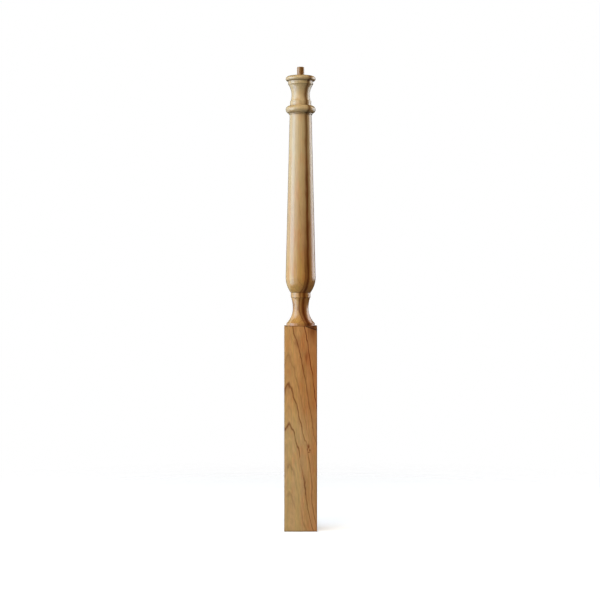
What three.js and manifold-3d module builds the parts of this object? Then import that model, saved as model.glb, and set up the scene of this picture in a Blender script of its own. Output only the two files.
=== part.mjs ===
// A turned newel post with a pin top, cut from one square blank of wood.
// Millimetres, +Z up. The origin is the middle of the sawn foot.
// The blank stays square at the foot. Above that it is turned round, and every moulding is given by how
// deep it is cut in from the full round, so that the mouldings keep their depth in a blank of another width.

import * as THREE from 'three';
import { mergeVertices } from 'three/addons/utils/BufferGeometryUtils.js';
import Module from 'manifold-3d';

// The blank
const OVERALL_HEIGHT = 1092.2;
const BLOCK_WIDTH = 77.0;
const BLOCK_HEIGHT = 481.5;
const ARRIS_RADIUS = 1.5;
const SHOULDER_ROUNDING = 6;
const SHOULDER_SHARE = 0.95; // how much of that rounding lies inside the corner of the blank

// The full round is the widest turning, shared by the vase, the collar bead and the cap
const FULL_ROUND_CUT = 3.2;

// The neck between the block and the vase
const FOOT_FILLET_DEPTH = 1.8;
const FOOT_FILLET_HEIGHT = 6.2;
const NECK_COVE_QUIRK = 1.0;
const NECK_COVE_LOWER_FLARE = 14.1;
const NECK_COVE_LOWER_BEND = 51;
const NECK_COVE_UPPER_FLARE = 3.7;
const NECK_COVE_UPPER_BEND = 83;
const NECK_RING_LIP = 1.0;
const NECK_RING_HEIGHT = 11.9;

// The vase and the tapered shaft that grows out of it
const VASE_BEND = 60;
const SHAFT_TAPER = 9.4;

// The collar at the top of the shaft
const SHAFT_FLARE_WIDTH = 1.8;
const SHAFT_FLARE_HEIGHT = 2.6;
const COLLAR_FILLET_HEIGHT = 2.4;
const COLLAR_BEAD_DEPTH = 10.8;
const COLLAR_BEAD_HEIGHT = 18.9;

// The hourglass under the cap
const CAP_FOOT_LIP = 0.4;
const CAP_FOOT_HEIGHT = 11.0;
const CAP_COVE_QUIRK = 1.3;
const CAP_COVE_LOWER_FLARE = 2.1;
const CAP_COVE_UPPER_FLARE = 7.5;
const CAP_COVE_BEND = 46;

// The band and the cap
const CAP_BAND_DEPTH = 5.8;
const CAP_BAND_HEIGHT = 7.7;
const CAP_UNDERSIDE_HEIGHT = 5.6;
const CAP_CROWN_WIDTH = 10.0;
const CAP_CROWN_HEIGHT = 6.7;

// The pin that enters the handrail fitting
const PIN_RADIUS = 8.5;
const PIN_HEIGHT = 21.2;
const PIN_CHAMFER = 1.0;

// Fineness of the facets
const TURNING_SEGMENTS = 64;
const ARRIS_SEGMENTS = 3;
const COVE_STEPS = 5;
const BEAD_STEPS = 8;
const SMALL_ARC_STEPS = 4;

const QUARTER_TURN = Math.PI / 2;

// Sizes that follow from the ones above
const blankRadius = BLOCK_WIDTH / 2;
const fullRound = blankRadius - FULL_ROUND_CUT;
const arrisDiagonal = (blankRadius - ARRIS_RADIUS) * Math.SQRT2 + ARRIS_RADIUS;

// The turned outline, drawn upwards as points of radius and height.
class Outline {
  constructor() {
    this.points = [new THREE.Vector2(0, 0)];
  }

  get radius() {
    return this.points.at(-1).x;
  }

  get height() {
    return this.points.at(-1).y;
  }

  lineTo(radius, height) {
    this.points.push(new THREE.Vector2(radius, height));
  }

  // A flat shoulder, in or out to a radius
  shoulder(radius) {
    this.lineTo(radius, this.height);
  }

  // A straight band, up by a height
  fillet(height) {
    this.lineTo(this.radius, this.height + height);
  }

  // An elliptical arc from where the outline is, round a centre, between two angles from the radius axis
  arc(centreRadius, centreHeight, width, height, startAngle, endAngle, steps) {
    for (let step = 1; step <= steps; step += 1) {
      const angle = startAngle + ((endAngle - startAngle) * step) / steps;
      this.lineTo(centreRadius + width * Math.cos(angle), centreHeight + height * Math.sin(angle));
    }
  }

  // A hollow that narrows to a waist, where its two bends meet, and opens again
  cove(lowerBend, lowerFlare, upperBend, upperFlare) {
    const lowerAngle = Math.acos(1 - lowerFlare / lowerBend);
    const upperAngle = Math.acos(1 - upperFlare / upperBend);
    const waist = this.radius - lowerFlare;
    const waistHeight = this.height + lowerBend * Math.sin(lowerAngle);
    this.arc(waist + lowerBend, waistHeight, lowerBend, lowerBend, Math.PI + lowerAngle, Math.PI, COVE_STEPS);
    this.arc(waist + upperBend, waistHeight, upperBend, upperBend, Math.PI, Math.PI - upperAngle, COVE_STEPS);
  }

  // A convex swell that comes upright at a wider radius
  ovolo(bend, radius) {
    const angle = Math.acos(1 - (radius - this.radius) / bend);
    this.arc(radius - bend, this.height + bend * Math.sin(angle), bend, bend, -angle, 0, BEAD_STEPS);
  }

  // A small hollow flare, out by a width and up by a height
  flare(width, height) {
    this.arc(this.radius + width, this.height, width, height, Math.PI, QUARTER_TURN, SMALL_ARC_STEPS);
  }

  // A bead, as half of an ellipse, whose crest is at a radius
  bead(crest, depth, height) {
    const rise = height / 2;
    this.shoulder(crest - depth);
    this.arc(this.radius, this.height + rise, depth, rise, -QUARTER_TURN, QUARTER_TURN, BEAD_STEPS);
  }
}

// The corners of the block, rounded over where the lathe meets them, and clear of the rest of the block.
function cutBlockTop(outline) {
  const roundingRadius = arrisDiagonal - SHOULDER_SHARE * SHOULDER_ROUNDING;
  const roundingHeight = BLOCK_HEIGHT - SHOULDER_ROUNDING;
  outline.shoulder(roundingRadius + SHOULDER_ROUNDING);
  outline.fillet(roundingHeight);
  outline.arc(
    roundingRadius, roundingHeight, SHOULDER_ROUNDING, SHOULDER_ROUNDING, 0, QUARTER_TURN, SMALL_ARC_STEPS,
  );
}

function turnNeck(outline) {
  outline.shoulder(fullRound - FOOT_FILLET_DEPTH);
  outline.fillet(FOOT_FILLET_HEIGHT);
  outline.shoulder(outline.radius - NECK_COVE_QUIRK);
  outline.cove(NECK_COVE_LOWER_BEND, NECK_COVE_LOWER_FLARE, NECK_COVE_UPPER_BEND, NECK_COVE_UPPER_FLARE);
  outline.shoulder(outline.radius + NECK_RING_LIP);
  outline.fillet(NECK_RING_HEIGHT);
  outline.ovolo(VASE_BEND, fullRound);
}

// Everything above the shaft, drawn from any height, because the shaft takes what is left of the post.
function turnHead(outline) {
  outline.flare(SHAFT_FLARE_WIDTH, SHAFT_FLARE_HEIGHT);
  outline.fillet(COLLAR_FILLET_HEIGHT);
  outline.bead(fullRound, COLLAR_BEAD_DEPTH, COLLAR_BEAD_HEIGHT);
  outline.shoulder(outline.radius + CAP_FOOT_LIP);
  outline.fillet(CAP_FOOT_HEIGHT);
  outline.shoulder(outline.radius - CAP_COVE_QUIRK);
  outline.cove(CAP_COVE_BEND, CAP_COVE_LOWER_FLARE, CAP_COVE_BEND, CAP_COVE_UPPER_FLARE);

  const bandRadius = fullRound - CAP_BAND_DEPTH;
  outline.shoulder(bandRadius);
  outline.fillet(CAP_BAND_HEIGHT);
  const capMiddle = outline.height + CAP_UNDERSIDE_HEIGHT;
  outline.arc(bandRadius, capMiddle, CAP_BAND_DEPTH, CAP_UNDERSIDE_HEIGHT, -QUARTER_TURN, 0, SMALL_ARC_STEPS);
  const seatRadius = fullRound - CAP_CROWN_WIDTH;
  outline.arc(seatRadius, capMiddle, CAP_CROWN_WIDTH, CAP_CROWN_HEIGHT, 0, QUARTER_TURN, SMALL_ARC_STEPS);

  outline.shoulder(PIN_RADIUS);
  outline.fillet(PIN_HEIGHT - PIN_CHAMFER);
  outline.lineTo(PIN_RADIUS - PIN_CHAMFER, outline.height + PIN_CHAMFER);
  outline.shoulder(0);
}

function turnedOutline() {
  const shaftTop = fullRound - SHAFT_TAPER;
  const measured = new Outline();
  measured.shoulder(shaftTop);
  turnHead(measured);

  const outline = new Outline();
  cutBlockTop(outline);
  turnNeck(outline);
  outline.lineTo(shaftTop, OVERALL_HEIGHT - measured.height);
  turnHead(outline);
  return outline.points;
}

// The sawn blank, a little too long at both ends, so that the turning cuts it to length.
function squareBlank() {
  const spare = 10;
  const inset = blankRadius - ARRIS_RADIUS;
  const section = new THREE.Shape();
  section.absarc(inset, inset, ARRIS_RADIUS, 0, QUARTER_TURN);
  section.absarc(-inset, inset, ARRIS_RADIUS, QUARTER_TURN, 2 * QUARTER_TURN);
  section.absarc(-inset, -inset, ARRIS_RADIUS, 2 * QUARTER_TURN, 3 * QUARTER_TURN);
  section.absarc(inset, -inset, ARRIS_RADIUS, 3 * QUARTER_TURN, 4 * QUARTER_TURN);
  const blank = new THREE.ExtrudeGeometry(section, {
    depth: OVERALL_HEIGHT + 2 * spare,
    bevelEnabled: false,
    curveSegments: ARRIS_SEGMENTS,
  });
  return blank.translate(0, 0, -spare);
}

function turning() {
  return new THREE.LatheGeometry(turnedOutline(), TURNING_SEGMENTS).rotateX(QUARTER_TURN);
}

const wasm = await Module();
wasm.setup();

// A closed geometry as a solid that can be cut. Triangles that meet the axis with no width are dropped.
function solidFrom(geometry) {
  const bare = geometry.clone();
  bare.deleteAttribute('normal');
  bare.deleteAttribute('uv');
  const merged = mergeVertices(bare);
  const corners = merged.index.array;
  const triangles = [];
  for (let start = 0; start < corners.length; start += 3) {
    const [a, b, c] = corners.subarray(start, start + 3);
    if (a !== b && b !== c && c !== a) {
      triangles.push(a, b, c);
    }
  }
  const mesh = new wasm.Mesh({
    numProp: 3,
    vertProperties: merged.attributes.position.array,
    triVerts: Uint32Array.from(triangles),
  });
  return new wasm.Manifold(mesh);
}

function geometryFrom(solid) {
  const mesh = solid.getMesh();
  const geometry = new THREE.BufferGeometry();
  geometry.setAttribute('position', new THREE.BufferAttribute(mesh.vertProperties, mesh.numProp));
  geometry.setIndex(new THREE.BufferAttribute(mesh.triVerts, 1));
  geometry.computeVertexNormals();
  return geometry;
}

const lacqueredWood = new THREE.MeshStandardMaterial({
  name: 'lacquered_wood',
  color: 0xb98f5c,
  roughness: 0.38,
  metalness: 0,
});

const solid = solidFrom(squareBlank()).intersect(solidFrom(turning()));
const newelPost = new THREE.Mesh(geometryFrom(solid), lacqueredWood);
newelPost.name = 'newel_post';

const group = new THREE.Group();
group.add(newelPost);

export default group;
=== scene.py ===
"""A turned wooden newel post on a plain white studio floor."""

import math

import bpy
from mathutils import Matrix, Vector


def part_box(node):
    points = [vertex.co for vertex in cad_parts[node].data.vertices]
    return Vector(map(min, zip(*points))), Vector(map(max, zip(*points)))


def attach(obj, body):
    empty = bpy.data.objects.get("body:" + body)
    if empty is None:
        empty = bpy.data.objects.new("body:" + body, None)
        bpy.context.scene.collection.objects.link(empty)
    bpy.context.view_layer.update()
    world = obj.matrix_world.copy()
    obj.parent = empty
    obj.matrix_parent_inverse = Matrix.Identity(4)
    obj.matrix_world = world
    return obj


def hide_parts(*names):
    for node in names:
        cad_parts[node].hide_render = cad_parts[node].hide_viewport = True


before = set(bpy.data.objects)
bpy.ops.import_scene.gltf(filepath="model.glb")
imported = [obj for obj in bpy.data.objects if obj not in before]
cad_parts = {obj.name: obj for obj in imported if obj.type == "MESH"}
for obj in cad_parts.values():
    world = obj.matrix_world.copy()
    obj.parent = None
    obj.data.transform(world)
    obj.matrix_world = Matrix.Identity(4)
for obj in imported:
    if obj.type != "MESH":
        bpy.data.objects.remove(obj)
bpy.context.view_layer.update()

POST_LOW, POST_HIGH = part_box("newel_post")
MM = 0.001
QUARTER_TURN = math.pi / 2

# The blank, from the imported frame, and how its edges are eased
OVERALL_HEIGHT = POST_HIGH.z - POST_LOW.z
BLOCK_HALF = (POST_HIGH.x - POST_LOW.x) / 2
BLOCK_HEIGHT = 481.5 * MM
ARRIS_RADIUS = 1.5 * MM
SHOULDER_ROUNDING = 6 * MM
SHOULDER_SHARE = 0.95
EDGE_EASE = 0.5 * MM
CORNER_TURN = math.radians(20)

# The turning. Depths are cut in from the full round, which is the widest moulding
FULL_ROUND = BLOCK_HALF - 3.2 * MM
FOOT_FILLET_DEPTH = 1.8 * MM
FOOT_FILLET_HEIGHT = 6.2 * MM
NECK_COVE_QUIRK = 1.0 * MM
NECK_COVE_LOWER_FLARE = 14.1 * MM
NECK_COVE_LOWER_BEND = 51 * MM
NECK_COVE_UPPER_FLARE = 3.7 * MM
NECK_COVE_UPPER_BEND = 83 * MM
NECK_RING_LIP = 1.0 * MM
NECK_RING_HEIGHT = 11.9 * MM
VASE_BEND = 60 * MM
SHAFT_TAPER = 9.4 * MM
SHAFT_FLARE_WIDTH = 1.8 * MM
SHAFT_FLARE_HEIGHT = 2.6 * MM
COLLAR_FILLET_HEIGHT = 2.4 * MM
COLLAR_BEAD_DEPTH = 10.8 * MM
COLLAR_BEAD_HEIGHT = 18.9 * MM
CAP_FOOT_LIP = 0.4 * MM
CAP_FOOT_HEIGHT = 11.0 * MM
CAP_COVE_QUIRK = 1.3 * MM
CAP_COVE_LOWER_FLARE = 2.1 * MM
CAP_COVE_UPPER_FLARE = 7.5 * MM
CAP_COVE_BEND = 46 * MM
CAP_BAND_DEPTH = 5.8 * MM
CAP_BAND_HEIGHT = 7.7 * MM
CAP_UNDERSIDE_HEIGHT = 5.6 * MM
CAP_CROWN_WIDTH = 10.0 * MM
CAP_CROWN_HEIGHT = 6.7 * MM
PIN_RADIUS = 8.5 * MM
PIN_HEIGHT = 21.2 * MM
PIN_CHAMFER = 1.0 * MM

# Fineness of the mesh
FACE_STEPS = 48
ARRIS_STEPS = 8
COVE_STEPS = 16
BEAD_STEPS = 22
SMALL_ARC_STEPS = 10
SHAFT_STEPS = 24
EASE_STEPS = 4
COLUMNS = 4 * (FACE_STEPS + ARRIS_STEPS)


class Outline:
    """A turned outline drawn upwards, as points of radius and height."""

    def __init__(self, radius, height):
        self.points = [(radius, height)]
        self.crease_shades = []

    @property
    def radius(self):
        return self.points[-1][0]

    @property
    def height(self):
        return self.points[-1][1]

    def line_to(self, radius, height, steps=1):
        """A straight run to a point."""
        start_radius, start_height = self.points[-1]
        for step in range(1, steps + 1):
            share = step / steps
            self.points.append((
                start_radius + (radius - start_radius) * share,
                start_height + (height - start_height) * share,
            ))

    def shoulder(self, radius):
        """A flat shoulder, in or out to a radius."""
        self.line_to(radius, self.height)

    def crease(self, depth, width):
        """Marks a corner where shade is painted into the colour: how dark it gets, and how wide in
        millimetres.
        """
        self.crease_shades.append((self.height / MM, depth, width))

    def fillet(self, rise):
        """A straight band, up by a height."""
        self.line_to(self.radius, self.height + rise)

    def arc(self, centre, width, rise, start, end, steps):
        """An elliptical arc round a centre, between two angles from the radius axis."""
        for step in range(1, steps + 1):
            angle = start + (end - start) * step / steps
            self.points.append((
                centre[0] + width * math.cos(angle),
                centre[1] + rise * math.sin(angle),
            ))

    def cove(self, lower_bend, lower_flare, upper_bend, upper_flare):
        """A hollow that narrows to a waist, where its two bends meet, and opens again."""
        lower = math.acos(1 - lower_flare / lower_bend)
        upper = math.acos(1 - upper_flare / upper_bend)
        waist = self.radius - lower_flare
        height = self.height + lower_bend * math.sin(lower)
        self.arc((waist + lower_bend, height), lower_bend, lower_bend, math.pi + lower, math.pi, COVE_STEPS)
        self.arc((waist + upper_bend, height), upper_bend, upper_bend, math.pi, math.pi - upper, COVE_STEPS)

    def ovolo(self, bend, radius):
        """A convex swell that comes upright at a wider radius."""
        angle = math.acos(1 - (radius - self.radius) / bend)
        centre = (radius - bend, self.height + bend * math.sin(angle))
        self.arc(centre, bend, bend, -angle, 0, BEAD_STEPS)

    def flare(self, width, rise):
        """A small hollow flare, out by a width and up by a height."""
        centre = (self.radius + width, self.height)
        self.arc(centre, width, rise, math.pi, QUARTER_TURN, SMALL_ARC_STEPS)

    def bead(self, crest, depth, rise):
        """A bead, as half of an ellipse, whose crest is at a radius."""
        self.shoulder(crest - depth)
        centre = (self.radius, self.height + rise / 2)
        self.arc(centre, depth, rise / 2, -QUARTER_TURN, QUARTER_TURN, BEAD_STEPS)


def turn_neck(outline):
    """From the foot fillet on the block up to the widest part of the vase."""
    outline.fillet(FOOT_FILLET_HEIGHT)
    outline.shoulder(outline.radius - NECK_COVE_QUIRK)
    outline.cove(NECK_COVE_LOWER_BEND, NECK_COVE_LOWER_FLARE, NECK_COVE_UPPER_BEND, NECK_COVE_UPPER_FLARE)
    outline.crease(0.12, 1.2)
    outline.shoulder(outline.radius + NECK_RING_LIP)
    outline.fillet(NECK_RING_HEIGHT)
    outline.crease(0.4, 1.2)
    outline.ovolo(VASE_BEND, FULL_ROUND)


def turn_head(outline):
    """From the top of the shaft up to the tip of the pin."""
    outline.flare(SHAFT_FLARE_WIDTH, SHAFT_FLARE_HEIGHT)
    outline.crease(0.3, 0.7)
    outline.fillet(COLLAR_FILLET_HEIGHT)
    outline.crease(0.3, 0.9)
    outline.bead(FULL_ROUND, COLLAR_BEAD_DEPTH, COLLAR_BEAD_HEIGHT)
    outline.crease(0.3, 0.8)
    outline.shoulder(outline.radius + CAP_FOOT_LIP)
    outline.fillet(CAP_FOOT_HEIGHT)
    outline.shoulder(outline.radius - CAP_COVE_QUIRK)
    outline.cove(CAP_COVE_BEND, CAP_COVE_LOWER_FLARE, CAP_COVE_BEND, CAP_COVE_UPPER_FLARE)
    outline.crease(0.15, 0.8)

    band_radius = FULL_ROUND - CAP_BAND_DEPTH
    outline.shoulder(band_radius)
    outline.fillet(CAP_BAND_HEIGHT)
    outline.crease(0.4, 0.9)
    cap_middle = outline.height + CAP_UNDERSIDE_HEIGHT
    outline.arc(
        (band_radius, cap_middle), CAP_BAND_DEPTH, CAP_UNDERSIDE_HEIGHT, -QUARTER_TURN, 0, SMALL_ARC_STEPS
    )
    outline.arc(
        (FULL_ROUND - CAP_CROWN_WIDTH, cap_middle), CAP_CROWN_WIDTH, CAP_CROWN_HEIGHT, 0, QUARTER_TURN,
        SMALL_ARC_STEPS,
    )
    outline.shoulder(PIN_RADIUS)
    outline.fillet(PIN_HEIGHT - PIN_CHAMFER)
    outline.line_to(PIN_RADIUS - PIN_CHAMFER, outline.height + PIN_CHAMFER)


def turned_outline():
    """The whole turning. The shaft takes the height that the mouldings leave."""
    shaft_top = FULL_ROUND - SHAFT_TAPER
    head = Outline(shaft_top, 0)
    turn_head(head)
    outline = Outline(FULL_ROUND - FOOT_FILLET_DEPTH, BLOCK_HEIGHT)
    turn_neck(outline)
    outline.line_to(shaft_top, OVERALL_HEIGHT - head.height, SHAFT_STEPS)
    turn_head(outline)
    return outline


TURNING = turned_outline()


def eased(points, reach):
    """The outline with each corner rounded over a short reach on both sides, as sanding leaves it."""
    points = [Vector(p) for p in points]
    run = [0.0]
    for a, b in zip(points, points[1:]):
        run.append(run[-1] + (b - a).length)

    def along(distance):
        for i in range(1, len(run)):
            if distance <= run[i]:
                return points[i - 1].lerp(points[i], (distance - run[i - 1]) / (run[i] - run[i - 1]))
        return points[-1]

    corners = [
        i for i in range(1, len(points) - 1)
        if (points[i] - points[i - 1]).angle(points[i + 1] - points[i]) > CORNER_TURN
    ]
    softened = {}
    for i in corners:
        gaps = [abs(run[i] - run[j]) / 2 for j in corners if j != i]
        softened[i] = min([reach, *gaps])
    result = []
    for i, point in enumerate(points):
        if i in softened:
            start = along(run[i] - softened[i])
            end = along(run[i] + softened[i])
            for step in range(EASE_STEPS + 1):
                share = step / EASE_STEPS
                result.append(start.lerp(point, share).lerp(point.lerp(end, share), share))
        elif all(abs(run[i] - run[j]) > softened[j] for j in corners):
            result.append(point)
    return result


def square_ring(inset):
    """The block's section, taken in by an inset, as one point for each column of the mesh."""
    rounding = ARRIS_RADIUS - inset
    middle = BLOCK_HALF - ARRIS_RADIUS
    quarter = [
        (middle + rounding, -middle + 2 * middle * step / FACE_STEPS) for step in range(FACE_STEPS)
    ]
    for step in range(ARRIS_STEPS):
        angle = QUARTER_TURN * step / ARRIS_STEPS
        quarter.append((middle + rounding * math.cos(angle), middle + rounding * math.sin(angle)))
    ring = []
    for turn in range(4):
        cosine = round(math.cos(turn * QUARTER_TURN))
        sine = round(math.sin(turn * QUARTER_TURN))
        ring += [(x * cosine - y * sine, x * sine + y * cosine) for x, y in quarter]
    first = FACE_STEPS // 2
    return ring[first:] + ring[:first]


def round_ring(radius):
    angles = [2 * math.pi * column / COLUMNS for column in range(COLUMNS)]
    return [(radius * math.cos(angle), radius * math.sin(angle)) for angle in angles]


def shoulder_height(x, y):
    """Height of the block's top, which the lathe rounds over at the four corners."""
    corner = (BLOCK_HALF - ARRIS_RADIUS) * math.sqrt(2) + ARRIS_RADIUS
    over = math.hypot(x, y) - (corner - SHOULDER_SHARE * SHOULDER_ROUNDING)
    if over <= 0:
        return BLOCK_HEIGHT
    return BLOCK_HEIGHT - SHOULDER_ROUNDING + math.sqrt(SHOULDER_ROUNDING ** 2 - over ** 2)


def block_rings():
    """Rings of points over the foot, up the faces and in over the shoulder."""
    edge = square_ring(EDGE_EASE)
    rings = [[(x * share, y * share, 0.0) for x, y in edge] for share in (0.25, 0.5, 0.75)]
    for step in range(EASE_STEPS + 1):
        angle = QUARTER_TURN * step / EASE_STEPS
        ring = square_ring(EDGE_EASE * (1 - math.sin(angle)))
        rings.append([(x, y, EDGE_EASE * (1 - math.cos(angle))) for x, y in ring])
    tops = [shoulder_height(x, y) for x, y in edge]
    for step in range(EASE_STEPS + 1):
        angle = QUARTER_TURN * step / EASE_STEPS
        ring = square_ring(EDGE_EASE * (1 - math.cos(angle)))
        drop = EDGE_EASE * (1 - math.sin(angle))
        rings.append([(x, y, top - drop) for (x, y), top in zip(ring, tops)])
    inner = round_ring(FULL_ROUND - FOOT_FILLET_DEPTH)
    for share in (0.04, 0.08, 0.13, 0.18, 0.25, 0.35, 0.5, 0.75):
        ring = [(x + (a - x) * share, y + (b - y) * share) for (x, y), (a, b) in zip(edge, inner)]
        rings.append([(x, y, shoulder_height(x, y)) for x, y in ring])
    return rings


def turned_rings():
    outline = eased(TURNING.points, EDGE_EASE)
    rings = [[(x, y, height) for x, y in round_ring(radius)] for radius, height in outline]
    rim = outline[-1][0]
    rings += [
        [(x, y, OVERALL_HEIGHT) for x, y in round_ring(rim * share)] for share in (0.75, 0.5, 0.25)
    ]
    return rings


def make_post():
    rings = block_rings() + turned_rings()
    points = [(0.0, 0.0, 0.0)]
    for ring in rings:
        points += ring
    points.append((0.0, 0.0, OVERALL_HEIGHT))
    top = len(points) - 1
    faces = []
    for column in range(COLUMNS):
        after = (column + 1) % COLUMNS
        faces.append((0, 1 + after, 1 + column))
        for level in range(len(rings) - 1):
            low = 1 + level * COLUMNS
            high = low + COLUMNS
            faces.append((low + column, low + after, high + after, high + column))
        last = 1 + (len(rings) - 1) * COLUMNS
        faces.append((last + column, last + after, top))
    mesh = bpy.data.meshes.new("turned_newel_post")
    mesh.from_pydata(points, [], faces)
    mesh.validate()
    for face in mesh.polygons:
        face.use_smooth = True
    mesh.set_sharp_from_angle(angle=math.radians(40))
    post = bpy.data.objects.new("turned_newel_post", mesh)
    bpy.context.scene.collection.objects.link(post)
    normals = post.modifiers.new("even_normals", "WEIGHTED_NORMAL")
    normals.keep_sharp = True
    return post


class Graph:
    """Short calls that add shader nodes. A value is a socket or a plain number or colour."""

    def __init__(self, owner):
        owner.use_nodes = True
        self.tree = owner.node_tree
        self.tree.nodes.clear()

    def feed(self, socket, value):
        if isinstance(value, bpy.types.NodeSocket):
            self.tree.links.new(value, socket)
        else:
            socket.default_value = value

    def node(self, kind, **settings):
        made = self.tree.nodes.new(kind)
        for name, value in settings.items():
            setattr(made, name, value)
        return made

    def math(self, operation, first, second=0.0, third=0.0, clamp=False):
        made = self.node("ShaderNodeMath", operation=operation, use_clamp=clamp)
        for socket, value in zip(made.inputs, (first, second, third)):
            self.feed(socket, value)
        return made.outputs[0]

    def product(self, first, *others):
        for other in others:
            first = self.math("MULTIPLY", first, other)
        return first

    def bell(self, value):
        """A smooth bump that is 1 where the value is 0 and nearly 0 beyond 2 on either side."""
        return self.math("EXPONENT", self.math("MULTIPLY", self.math("MULTIPLY", value, value), -1.0))

    def vector(self, operation, first, second):
        made = self.node("ShaderNodeVectorMath", operation=operation)
        self.feed(made.inputs[0], first)
        self.feed(made.inputs[1], second)
        return made.outputs[0]

    def join(self, x, y, z):
        made = self.node("ShaderNodeCombineXYZ")
        for socket, value in zip(made.inputs, (x, y, z)):
            self.feed(socket, value)
        return made.outputs[0]

    def noise(self, where, detail=2.0, roughness=0.5):
        """Smooth noise from 0 to 1, with features about one unit wide."""
        made = self.node("ShaderNodeTexNoise", noise_dimensions="3D")
        self.feed(made.inputs["Vector"], where)
        self.feed(made.inputs["Scale"], 1.0)
        self.feed(made.inputs["Detail"], detail)
        self.feed(made.inputs["Roughness"], roughness)
        self.feed(made.inputs["Distortion"], 0.0)
        return made.outputs["Fac"]

    def between(self, value, low, high, to_low=0.0, to_high=1.0):
        """A smooth step that goes from to_low to to_high as value goes from low to high."""
        made = self.node("ShaderNodeMapRange", interpolation_type="SMOOTHSTEP")
        for socket, number in zip(made.inputs, (value, low, high, to_low, to_high)):
            self.feed(socket, number)
        return made.outputs[0]

    def mix(self, share, first, second, blend="MIX"):
        made = self.node("ShaderNodeMix", data_type="RGBA", blend_type=blend)
        colours = [socket for socket in made.inputs if socket.type == "RGBA"]
        self.feed(made.inputs[0], share)
        for socket, value in zip(colours, (first, second)):
            self.feed(socket, value)
        return next(socket for socket in made.outputs if socket.type == "RGBA")


def srgb(red, green, blue):
    """A colour written as on a screen, 0 to 255, as the light that Blender works in."""
    linear = []
    for channel in (red, green, blue):
        share = channel / 255
        linear.append(share / 12.92 if share <= 0.04045 else ((share + 0.055) / 1.055) ** 2.4)
    return (*linear, 1.0)


# The wood, in millimetres. The tree's heart lies behind the post and leans away from its front face
# going up, so the year rings crest near the left of that face and run down to the right.
FRONT_Y = POST_LOW.y / MM
BLOCK_TOP = BLOCK_HEIGHT / MM
PIN_BASE_HEIGHT = (OVERALL_HEIGHT - PIN_HEIGHT) / MM
PITH_X = -29.0
PITH_DEPTH_AT_FOOT = 86.0
PITH_LEAN = 0.1
PEAK_SLOPE = 0.22
PEAK_ROUNDING = 2.5
PEAK_FADE_BOTTOM = -80.0
PEAK_FADE_TOP = 60.0
SWELL_DEPTH = 5.0
WOBBLE_DEPTH = 4.2
RING_WIDTH = 4.3

# The strong lines, each as the height of its crest on the front face and its strength
CRESTS = ((610, 1.3), (497, 0.95), (406, 0.35), (348, 0.9), (258, 0.95), (158, 0.35), (95, 0.3))
LINE_WIDTH = 0.55
LOW_ARC_HEIGHT = 165.0
LOW_ARC_LEFT = -34.0
LOW_GAP_X = -5.0
LOW_GAP_WIDTH = 8.0

# Under the knot the lines right of BEND_LEFT move aside, between two heights
KNOT_BEND = 3.0
BEND_LEFT = 4.0
BEND_FOOT = 60.0
BEND_TOP = 200.0

# The dark sheet, partly heartwood and partly painted shade down the shaft's right side: the way it faces,
# its place in the shaft, head and neck, and how wide it is
SHEET_FACES_RIGHT = 0.67
SHEET_FACES_BACK = 0.74
SHEET_OFFSET = 12.8
SHEET_TAPER = 0.0075
SHEET_WOBBLE = 5.0
SHEET_WIDTH = 4.0
SHEET_HEAD_SHIFT = -2.5
SHEET_NECK_SHIFT = -2.5
SHEET_NECK_SPREAD = 2.0
SHEET_GAP = 6.5
SHEET_LINE_WIDTH = 1.4
STREAK_BOTTOM = 420.0
SHOULDER_BOTTOM = 545.0
SHOULDER_FULL = 590.0
SHOULDER_FAINT = 800.0
HEAD_BOTTOM = 985.0
NECK_BOTTOM = 500.0
NECK_TOP = 560.0

# Stained spots and the knot on the front of the block, as x, z, half width, half height and depth of colour
SPOTS = (
    (17.8, 201.0, 3.0, 4.0, 0.55),
    (18.6, 197.0, 1.4, 3.0, 0.7),
    (15.2, 192.0, 1.1, 3.5, 0.6),
    (21.8, 190.5, 1.5, 3.0, 1.0),
    (19.3, 185.5, 2.4, 1.2, 0.7),
    (-8.0, 440.0, 5.0, 12.0, 0.3),
    (14.0, 409.0, 5.0, 12.0, 0.4),
)
STAIN_REACH = 4.0
STAIN_END = 12.0

# The stain across the block's top right corner
CORNER_SLOPE = 0.33
CORNER_HEIGHT = 484.0
CORNER_LINE_WIDTH = 1.3
CORNER_LEFT = 8.0
CORNER_DEPTH = 0.85

# Heights between which the colour changes going up: sandy at the foot, golden on the vase, pale at the head
SAND_FULL = 210.0
SAND_END = 330.0
PALE_START = 490.0
PALE_FULL = 960.0
GOLD_FULL = 600.0
GOLD_END = 680.0
OLIVE_FULL = 700.0

PALE_WOOD = srgb(222, 192, 144)
TAN_WOOD = srgb(220, 172, 115)
# The right side's colour: warmer wood, and partly painted shade
WARM_SHADED_WOOD = srgb(203, 142, 86)
SAND_WOOD = srgb(216, 182, 134)
# Colours of the dark sheet: heartwood, which also serves as painted shade down the shaft's right side
HEART_AND_SHADE = srgb(138, 80, 22)
OLD_HEART_AND_SHADE = srgb(134, 88, 34)
LATEWOOD = srgb(124, 54, 12)
# Colour of the painted shade in the creases of the turning
CREASE_SHADE = srgb(104, 62, 26)
DARK_STAIN = srgb(66, 34, 12)
KNOT_WOOD = srgb(130, 42, 14)
PIN_WOOD = srgb(190, 148, 92)
OLIVE_TINT = (0.97, 1.02, 0.93, 1.0)
RED_TINT = (1.03, 0.95, 0.92, 1.0)
GOLDEN_TINT = (1.04, 1.05, 0.84, 1.0)
HOLLOW_REACH = 12 * MM
RELIEF_STRENGTH = 0.08
RELIEF_DEPTH = 0.2 * MM


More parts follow.
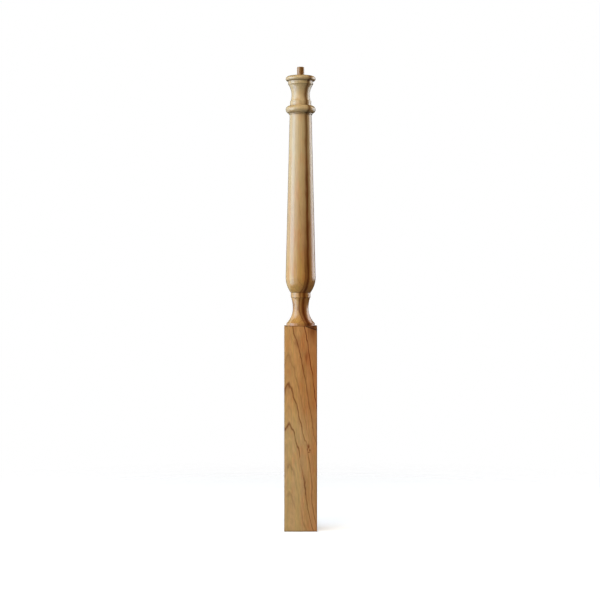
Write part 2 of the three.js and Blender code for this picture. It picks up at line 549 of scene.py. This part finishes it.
class Grain:
    """A point's place in the post and in the tree, and the marks that the wood has there, with painted
    shade in the dark band down the shaft.
    """

    def __init__(self, g):
        self.g = g
        place = g.node("ShaderNodeTexCoord").outputs["Object"]
        self.where = g.vector("MULTIPLY", place, (1 / MM, 1 / MM, 1 / MM))
        parts = g.node("ShaderNodeSeparateXYZ")
        g.feed(parts.inputs[0], self.where)
        self.x, self.y, self.z = parts.outputs
        self.wobble = self.noise(12, 32)
        self.broken = self.noise(7, 30)
        self.radius = self.ring_radius()
        self.in_neck = g.between(self.z, NECK_BOTTOM, NECK_TOP, 1.0, 0.0)
        self.on_front = g.between(self.y, FRONT_Y + STAIN_REACH, FRONT_Y + STAIN_END, 1.0, 0.0)

    def noise(self, across, along, detail=2.0, roughness=0.5):
        """Noise whose features are so many millimetres across the grain and along it."""
        scaled = self.g.vector("MULTIPLY", self.where, (1 / across, 1 / across, 1 / along))
        return self.g.noise(scaled, detail, roughness)

    def ring_radius(self):
        """Distance from the pith, made uneven as a tree grows, and pointed where a ring crests."""
        g = self.g
        pith_y = g.math("MULTIPLY_ADD", self.z, PITH_LEAN, PITH_DEPTH_AT_FOOT + FRONT_Y)
        aside = g.math("SUBTRACT", self.x, PITH_X)
        distance = g.node("ShaderNodeVectorMath", operation="LENGTH")
        g.feed(distance.inputs[0], g.join(aside, g.math("SUBTRACT", self.y, pith_y), 0.0))
        peak = g.math("SQRT", g.math("MULTIPLY_ADD", aside, aside, PEAK_ROUNDING ** 2))
        peak = g.math("MULTIPLY", g.math("SUBTRACT", peak, PEAK_ROUNDING), PEAK_SLOPE)
        peak = g.math("MULTIPLY", peak, g.between(self.z, PEAK_FADE_BOTTOM, PEAK_FADE_TOP))
        swell = self.noise(45, 150, 1.0)
        radius = g.math("ADD", distance.outputs["Value"], peak)
        radius = g.math("MULTIPLY_ADD", g.math("SUBTRACT", swell, 0.5), SWELL_DEPTH, radius)
        radius = g.math("MULTIPLY_ADD", g.math("SUBTRACT", self.wobble, 0.5), WOBBLE_DEPTH, radius)
        under_knot = g.product(
            g.between(self.z, BEND_FOOT, BEND_FOOT + 70.0),
            g.between(self.z, BEND_TOP, BEND_TOP + 32.0, 1.0, 0.0),
            g.between(self.x, BEND_LEFT, BEND_LEFT + 10.0),
        )
        return g.math("MULTIPLY_ADD", under_knot, -KNOT_BEND, radius)

    def year_rings(self):
        """Faint year rings, each with its own strength, broken up along their length."""
        g = self.g
        phase = g.math("DIVIDE", self.radius, RING_WIDTH)
        strength = g.node("ShaderNodeTexWhiteNoise", noise_dimensions="1D")
        g.feed(strength.inputs["W"], g.math("FLOOR", phase))
        rise = g.math("POWER", g.math("FRACT", phase), 6.0)
        uneven = g.math("POWER", strength.outputs["Value"], 1.5)
        return g.product(rise, uneven, g.between(self.broken, 0.45, 0.65))

    def dark_lines(self):
        """The few strong dark lines, which fade in and out along their length."""
        g = self.g
        lines = 0.0
        for height, depth in CRESTS:
            crest = PITH_DEPTH_AT_FOOT + PITH_LEAN * height
            offset = g.math("DIVIDE", g.math("SUBTRACT", self.radius, crest), LINE_WIDTH)
            lines = g.math("MULTIPLY_ADD", g.bell(offset), depth, lines)

        # Low down only short arcs are left of them, near the left edge
        gap = g.bell(g.math("DIVIDE", g.math("SUBTRACT", self.x, LOW_GAP_X), LOW_GAP_WIDTH))
        gap = g.math("MAXIMUM", gap, g.between(self.x, LOW_ARC_LEFT, LOW_ARC_LEFT + 5.0, 1.0, 0.0))
        gap = g.math("MULTIPLY", gap, g.between(self.z, LOW_ARC_HEIGHT, LOW_ARC_HEIGHT + 15.0, 0.8, 0.0))
        return g.product(
            lines,
            g.between(self.noise(20, 60), 0.3, 0.55, 0.5, 1.0),
            g.between(self.z, BLOCK_TOP - 11.5, BLOCK_TOP + 38.5, 1.0, 0.15),
            g.math("SUBTRACT", 1.0, gap),
        )

    def spots(self):
        """Ragged spots on the front of the block."""
        g = self.g
        ragged = g.math("MULTIPLY", g.math("SUBTRACT", self.broken, 0.5), 2.4)
        spots = 0.0
        for spot_x, spot_z, half_width, half_height, depth in SPOTS:
            sideways = g.math("DIVIDE", g.math("SUBTRACT", self.x, spot_x), half_width)
            sideways = g.math("ADD", sideways, ragged)
            upward = g.math("DIVIDE", g.math("SUBTRACT", self.z, spot_z), half_height)
            reach = g.math("MULTIPLY_ADD", upward, upward, g.math("MULTIPLY", sideways, sideways))
            stain = g.math("EXPONENT", g.math("MULTIPLY", reach, -1.0))
            spots = g.math("MULTIPLY_ADD", stain, depth, spots)
        return g.math("MULTIPLY", spots, self.on_front)

    def corner_stain(self):
        """A dark line that slants across the block's top right corner, with a browner patch above it."""
        g = self.g
        above = g.math("SUBTRACT", g.math("MULTIPLY_ADD", self.x, CORNER_SLOPE, self.z), CORNER_HEIGHT)
        above = g.math("DIVIDE", above, CORNER_LINE_WIDTH)
        return g.product(
            g.math("ADD", g.bell(above), g.between(above, 0.0, 1.0, 0.0, 0.35)),
            g.between(self.x, CORNER_LEFT, CORNER_LEFT + 7.0, 0.0, CORNER_DEPTH),
            g.between(self.z, BLOCK_TOP, BLOCK_TOP + 0.5, 1.0, 0.0),
            self.on_front,
        )

    def heartwood_and_shade(self):
        """A dark sheet that shows as a streak down the shaft and through the neck into the block:
        heartwood, and along the shaft and head partly painted shade in the dark band on their right side.
        """
        g = self.g
        across = g.math("MULTIPLY", self.x, SHEET_FACES_RIGHT)
        sheet = g.math("ADD", across, g.math("MULTIPLY", self.y, SHEET_FACES_BACK))
        sheet = g.math("ADD", sheet, g.math("MULTIPLY_ADD", self.z, -SHEET_TAPER, SHEET_OFFSET))
        sheet = g.math("MULTIPLY_ADD", self.wobble, SHEET_WOBBLE, sheet)
        in_head = g.between(self.z, HEAD_BOTTOM, HEAD_BOTTOM + 30.0, 0.0, SHEET_HEAD_SHIFT)
        sheet = g.math("ADD", sheet, in_head)
        sheet = g.math("MULTIPLY_ADD", self.in_neck, SHEET_NECK_SHIFT, sheet)

        # Beside it a narrow line shows low down, and a browner shoulder, partly painted shade, up the vase
        # and the shaft
        beside = g.bell(g.math("DIVIDE", g.math("ADD", sheet, SHEET_GAP), SHEET_LINE_WIDTH))
        beside = g.math("MULTIPLY", beside, g.between(self.z, 600.0, 720.0, 0.75, 0.0))
        width = g.math("MULTIPLY_ADD", self.in_neck, SHEET_NECK_SPREAD, SHEET_WIDTH)
        sheet = g.math("DIVIDE", sheet, width)
        shoulder = g.product(
            g.between(sheet, -3.0, -0.3),
            g.between(sheet, 0.0, 1.0, 1.0, 0.0),
            g.between(self.z, SHOULDER_FULL, SHOULDER_FAINT, 0.75, 0.15),
            g.between(self.z, SHOULDER_BOTTOM, SHOULDER_BOTTOM + 30.0),
        )
        return g.product(
            g.math("MAXIMUM", g.bell(sheet), g.math("MAXIMUM", shoulder, beside)),
            g.between(self.z, STREAK_BOTTOM, NECK_BOTTOM),
            g.between(self.z, 700.0, 1000.0, 1.0, 0.8),
        )


def sound_wood(g, grain):
    """The colour of the wood before its marks: tan to warm from left to right, which is partly painted
    shade, paler up the shaft and sandy at the foot.
    """
    x, z = grain.x, grain.z
    bands = grain.noise(5, 250)
    patches = grain.noise(16, 45)
    # Warmer and darker to the right: partly the wood's own warmer side, partly painted shade on the side
    # away from the left lamps
    shade = g.math("ADD", x, g.math("MULTIPLY", g.math("SUBTRACT", patches, 0.5), 60.0))
    colour = g.mix(g.between(shade, -40.0, 36.0), TAN_WOOD, WARM_SHADED_WOOD)
    colour = g.mix(g.between(z, PALE_START, PALE_FULL), colour, PALE_WOOD)
    sand = g.math(
        "MULTIPLY", g.between(z, SAND_FULL, SAND_END, 0.75, 0.0), g.between(x, -15.0, 35.0, 1.0, 0.4),
    )
    colour = g.mix(sand, colour, SAND_WOOD)
    olive = g.math(
        "MULTIPLY", g.between(bands, 0.38, 0.55, 1.0, 0.0), g.between(z, OLIVE_FULL, PALE_FULL, 1.0, 0.4),
    )
    colour = g.mix(olive, colour, OLIVE_TINT, "MULTIPLY")
    colour = g.mix(g.between(patches, 0.5, 0.7), colour, RED_TINT, "MULTIPLY")
    golden = g.math(
        "MULTIPLY", g.between(z, BLOCK_TOP, BLOCK_TOP + 8.0), g.between(z, GOLD_FULL, GOLD_END, 1.0, 0.0),
    )
    return g.mix(golden, colour, GOLDEN_TINT, "MULTIPLY")


def marked_wood(g, grain, on_pin):
    """The wood with its heartwood, partly painted shade down the shaft, its lines and spots, and painted
    shade in the creases of the turning.
    """
    colour = g.mix(on_pin, sound_wood(g, grain), PIN_WOOD)
    # The dark sheet's colour, darker in the neck: heartwood, and painted shade where it runs down the
    # shaft's right side
    heart = g.mix(g.math("MULTIPLY", grain.in_neck, 0.6), HEART_AND_SHADE, LATEWOOD)
    heart = g.mix(g.between(grain.z, 750.0, 1000.0), heart, OLD_HEART_AND_SHADE)
    colour = g.mix(grain.heartwood_and_shade(), colour, heart)
    colour = g.mix(g.math("MULTIPLY", grain.year_rings(), 0.4, clamp=True), colour, LATEWOOD)
    colour = g.mix(g.math("MULTIPLY", grain.dark_lines(), 0.75, clamp=True), colour, LATEWOOD)
    colour = g.mix(g.math("MULTIPLY", grain.spots(), 1.0, clamp=True), colour, KNOT_WOOD)
    colour = g.mix(g.math("MULTIPLY", grain.corner_stain(), 1.0, clamp=True), colour, DARK_STAIN)
    # Painted shade at each crease of the turning
    for height, depth, width in TURNING.crease_shades:
        offset = g.math("DIVIDE", g.math("SUBTRACT", grain.z, height), width)
        colour = g.mix(g.math("MULTIPLY", g.bell(offset), depth), colour, CREASE_SHADE)
    return colour


def wood_tone_and_shade(g, grain, fibres, pores):
    """How light the wood is from its fibres, stripes and mottle, darker along the block's upright arrises,
    and painted shade under its top edge, at the foot and in hollows.
    """
    x, y, z = grain.x, grain.y, grain.z
    mottle = grain.noise(3, 14, 3.0)
    figure = g.noise(g.join(g.math("DIVIDE", grain.radius, 2.2), 0.0, g.math("DIVIDE", z, 300.0)))
    fine = g.math("ADD", g.between(fibres, 0.2, 0.8, 0.9, 1.08), g.between(pores, 0.6, 0.75, 0.0, -0.1))
    blotch = g.math(
        "ADD", g.between(mottle, 0.3, 0.7, -0.05, 0.04), g.between(figure, 0.35, 0.65, -0.045, 0.04),
    )
    blotch = g.math("MULTIPLY", blotch, g.between(z, BLOCK_TOP, BLOCK_TOP + 60.0, 1.0, 0.1))
    stripes = g.between(grain.noise(2, 400), 0.3, 0.7, 0.95, 1.04)

    # Darker along the block's upright arrises; painted shade under its top edge, at the foot and down in
    # the quirks and hollows
    nearer = g.math("MINIMUM", g.math("ABSOLUTE", x), g.math("ABSOLUTE", y))
    upright_arris = g.between(nearer, -FRONT_Y - 2.1, -FRONT_Y - 0.5, 1.0, 0.6)
    # Painted shade in a band just under the block's top edge, fainter on the flat top
    top_edge_shade = g.math(
        "MULTIPLY",
        g.between(z, BLOCK_TOP - 2.4, BLOCK_TOP - 1.0),
        g.between(z, BLOCK_TOP - 0.2, BLOCK_TOP, 1.0, 0.3),
    )
    # Painted shade along the foot
    foot = g.between(z, 0.8, 3.0, 0.55, 1.0)
    # Painted shade in hollows, from ambient occlusion
    occlusion_shade = g.node("ShaderNodeAmbientOcclusion", samples=8)
    g.feed(occlusion_shade.inputs["Distance"], HOLLOW_REACH)
    return g.product(
        fine, g.math("ADD", blotch, 1.0), stripes, upright_arris,
        g.math("MULTIPLY_ADD", top_edge_shade, -0.4, 1.0), foot,
        g.between(occlusion_shade.outputs["AO"], 0.1, 0.8, 0.75, 1.0),
    )


def wood_material():
    material = bpy.data.materials.new("lacquered_wood")
    g = Graph(material)
    grain = Grain(g)
    fibres = grain.noise(0.9, 45, 3.0, 0.6)
    pores = grain.noise(0.35, 9, 1.0)
    on_pin = g.between(grain.z, PIN_BASE_HEIGHT - 0.4, PIN_BASE_HEIGHT + 0.4)
    tone = wood_tone_and_shade(g, grain, fibres, pores)
    colour = g.mix(1.0, marked_wood(g, grain, on_pin), g.join(tone, tone, tone), "MULTIPLY")

    smoothness = g.between(fibres, 0.3, 0.7, 0.0, 0.06)
    roughness = g.math("ADD", g.between(on_pin, 0.0, 1.0, 0.46, 0.62), smoothness)
    relief = g.node("ShaderNodeBump")
    g.feed(relief.inputs["Strength"], RELIEF_STRENGTH)
    g.feed(relief.inputs["Distance"], RELIEF_DEPTH)
    g.feed(relief.inputs["Height"], g.math("ADD", fibres, g.math("MULTIPLY", pores, 0.5)))

    shader = g.node("ShaderNodeBsdfPrincipled")
    g.feed(shader.inputs["Base Color"], colour)
    g.feed(shader.inputs["Roughness"], roughness)
    g.feed(shader.inputs["Normal"], relief.outputs[0])
    shader.inputs["IOR"].default_value = 1.5
    shader.inputs["Specular IOR Level"].default_value = 0.1
    shader.inputs["Coat Weight"].default_value = 1.0
    shader.inputs["Coat Roughness"].default_value = 0.22
    shader.inputs["Coat IOR"].default_value = 1.85
    output = g.node("ShaderNodeOutputMaterial")
    g.feed(output.inputs["Surface"], shader.outputs[0])
    return material


post = make_post()
post.data.materials.append(wood_material())
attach(post, "root")
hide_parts("newel_post")


# The studio. Azimuth 0 is towards the camera, and positive to the right of it
CAMERA_DISTANCE = 3.7
CAMERA_HEIGHT = 0.5419
FIELD_OF_VIEW = math.radians(21.7)
POST_RIGHT_OF_CENTRE = 0.0015
FLOOR_RADIUS = 1.6
FLOOR_FADE_START = 0.3
FLOOR_GLOW = 0.35
BOUNCE_DROP = 0.002
DOME_RADIUS = 40.0
ROOM_COLOUR = (1.0, 0.9, 0.75, 1.0)
ROOM_STRENGTH = 0.05
WHITE = (1.0, 1.0, 1.0)
COLD = (0.7, 0.93, 1.24)
COOL = (0.88, 0.99, 1.15)
CLEAR = (0.97, 1.03, 1.12)
WARM = (1.04, 1.0, 0.92)


def pale_material(material_name, shade, glow):
    """Plain pale paint, with a little light of its own, that fades out away from the post."""
    material = bpy.data.materials.new(material_name)
    g = Graph(material)
    shader = g.node("ShaderNodeBsdfPrincipled")
    shader.inputs["Base Color"].default_value = (shade, shade, shade, 1.0)
    shader.inputs["Roughness"].default_value = 0.9
    shader.inputs["Specular IOR Level"].default_value = 0.1
    shader.inputs["Emission Color"].default_value = (1.0, 1.0, 1.0, 1.0)
    shader.inputs["Emission Strength"].default_value = glow
    output = g.node("ShaderNodeOutputMaterial")
    place = g.node("ShaderNodeTexCoord").outputs["Object"]
    reach = g.node("ShaderNodeVectorMath", operation="LENGTH")
    g.feed(reach.inputs[0], place)
    blend = g.node("ShaderNodeMixShader")
    g.feed(blend.inputs[0], g.between(reach.outputs["Value"], FLOOR_FADE_START, FLOOR_RADIUS))
    g.feed(blend.inputs[1], shader.outputs[0])
    g.feed(blend.inputs[2], g.node("ShaderNodeBsdfTransparent").outputs[0])
    g.feed(output.inputs["Surface"], blend.outputs[0])
    return material


def floor_disc(name, height, material):
    bpy.ops.mesh.primitive_circle_add(
        vertices=96, radius=FLOOR_RADIUS, fill_type="NGON", location=(0, 0, height),
    )
    disc = bpy.context.object
    disc.name = name
    disc.data.materials.append(material)
    return disc


def make_floor():
    """A pale floor that fades into the backdrop, so that no horizon shows. A dimmer one under it, which the
    camera doesn't see, gives the light that comes back up from the floor."""
    seen = floor_disc("studio_floor", 0.0, pale_material("pale_floor", 0.9, FLOOR_GLOW))
    seen.visible_diffuse = False
    seen.visible_glossy = False
    seen.visible_shadow = False
    bounce = floor_disc("studio_floor_bounce", -BOUNCE_DROP, pale_material("dim_floor", 0.65, 0.0))
    bounce.visible_camera = False
    bounce.visible_glossy = False


def soft_box(
    name, azimuth, width, brightness, tint=WHITE, elevation=0, distance=1.8, height=0.9, tall=2.4,
):
    """A rectangular light that faces the middle of the post, of a given brightness per area."""
    data = bpy.data.lights.new(name, "AREA")
    data.shape = "RECTANGLE"
    data.size = width
    data.size_y = tall
    data.energy = brightness * math.pi * width * tall
    data.color = tint
    light = bpy.data.objects.new(name, data)
    bpy.context.scene.collection.objects.link(light)
    turn, tilt = math.radians(azimuth), math.radians(elevation)
    outward = Vector((math.sin(turn) * math.cos(tilt), -math.cos(turn) * math.cos(tilt), math.sin(tilt)))
    light.location = Vector((0.0, 0.0, height)) + outward * distance
    light.rotation_euler = (-outward).to_track_quat("-Z", "Y").to_euler()
    light.visible_camera = False
    return light


def make_world():
    """The dim light of the room round the lamps."""
    world = bpy.data.worlds.new("studio")
    bpy.context.scene.world = world
    g = Graph(world)
    background = g.node("ShaderNodeBackground")
    background.inputs["Color"].default_value = ROOM_COLOUR
    background.inputs["Strength"].default_value = ROOM_STRENGTH
    output = g.node("ShaderNodeOutputWorld")
    g.feed(output.inputs["Surface"], background.outputs[0])


def make_dome():
    """A white backdrop all round, seen by the camera alone, so that it doesn't flatten the light."""
    bpy.ops.mesh.primitive_uv_sphere_add(segments=48, ring_count=24, radius=DOME_RADIUS)
    dome = bpy.context.object
    dome.name = "studio_backdrop"
    material = bpy.data.materials.new("white_backdrop")
    g = Graph(material)
    shader = g.node("ShaderNodeEmission")
    shader.inputs["Color"].default_value = (1.0, 1.0, 1.0, 1.0)
    shader.inputs["Strength"].default_value = 1.0
    output = g.node("ShaderNodeOutputMaterial")
    g.feed(output.inputs["Surface"], shader.outputs[0])
    dome.data.materials.append(material)
    dome.visible_diffuse = False
    dome.visible_glossy = False
    dome.visible_transmission = False
    dome.visible_shadow = False


def make_camera():
    data = bpy.data.cameras.new("camera")
    data.angle = FIELD_OF_VIEW
    camera = bpy.data.objects.new("camera", data)
    bpy.context.scene.collection.objects.link(camera)
    camera.location = (-POST_RIGHT_OF_CENTRE, -CAMERA_DISTANCE, CAMERA_HEIGHT)
    camera.rotation_euler = (QUARTER_TURN, 0.0, 0.0)
    bpy.context.scene.camera = camera


make_floor()
make_world()
make_dome()
soft_box("left_box", azimuth=-75, width=1.3, brightness=2.55, tint=COLD)
soft_box("front_left", azimuth=-38, width=0.8, brightness=1.0, tint=COOL)
soft_box("left_wing", azimuth=-119, width=1.9, brightness=1.1)
soft_box("right_strip", azimuth=121, width=1.5, brightness=2.4, tint=CLEAR, height=1.25, tall=1.6)
key_light = soft_box(
    "key_light", azimuth=-4, width=3.4, brightness=2.4, tint=WARM, elevation=45, distance=3.0, height=0.6,
    tall=3.4,
)
key_light.visible_glossy = False
make_camera()
bpy.context.scene.view_settings.view_transform = "Standard"
bpy.context.scene.view_settings.look = "None"
bpy.context.scene.view_settings.gamma = 0.8
